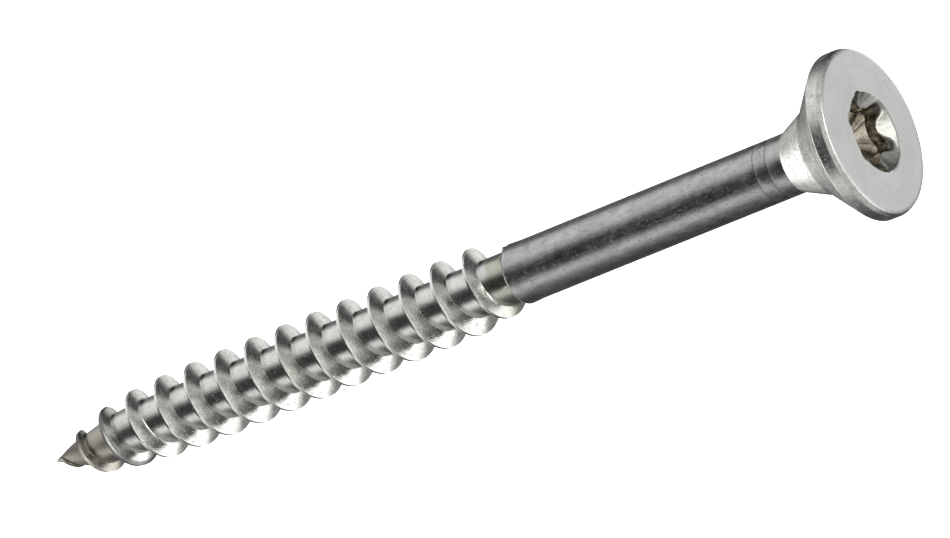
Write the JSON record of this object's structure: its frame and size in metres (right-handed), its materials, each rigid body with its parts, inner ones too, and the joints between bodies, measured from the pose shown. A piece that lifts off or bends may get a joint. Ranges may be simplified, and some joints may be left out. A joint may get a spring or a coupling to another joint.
{
  "type": "wood screw",
  "caption": "Countersunk partial-thread wood screw: six-lobe drive socket in a flat head, plain shank, coarse right-hand thread and gimlet point.",
  "frame": {"origin": "centre of the head's flat face, where the screw sits flush with the timber's surface when it is driven home", "axes": "+Z along the screw's axis, out of the head; the point is at -Z; a lobe of the drive socket lies along +X"},
  "size_m": [0.01, 0.01, 0.06],
  "materials": {
    "stainless_steel": "bare stainless steel: satin turned face, bright rolled thread, darker polished shank with fine pits"
  },
  "bodies": {
    "root": {"screw": "stainless_steel"}
  },
  "joints": []
}
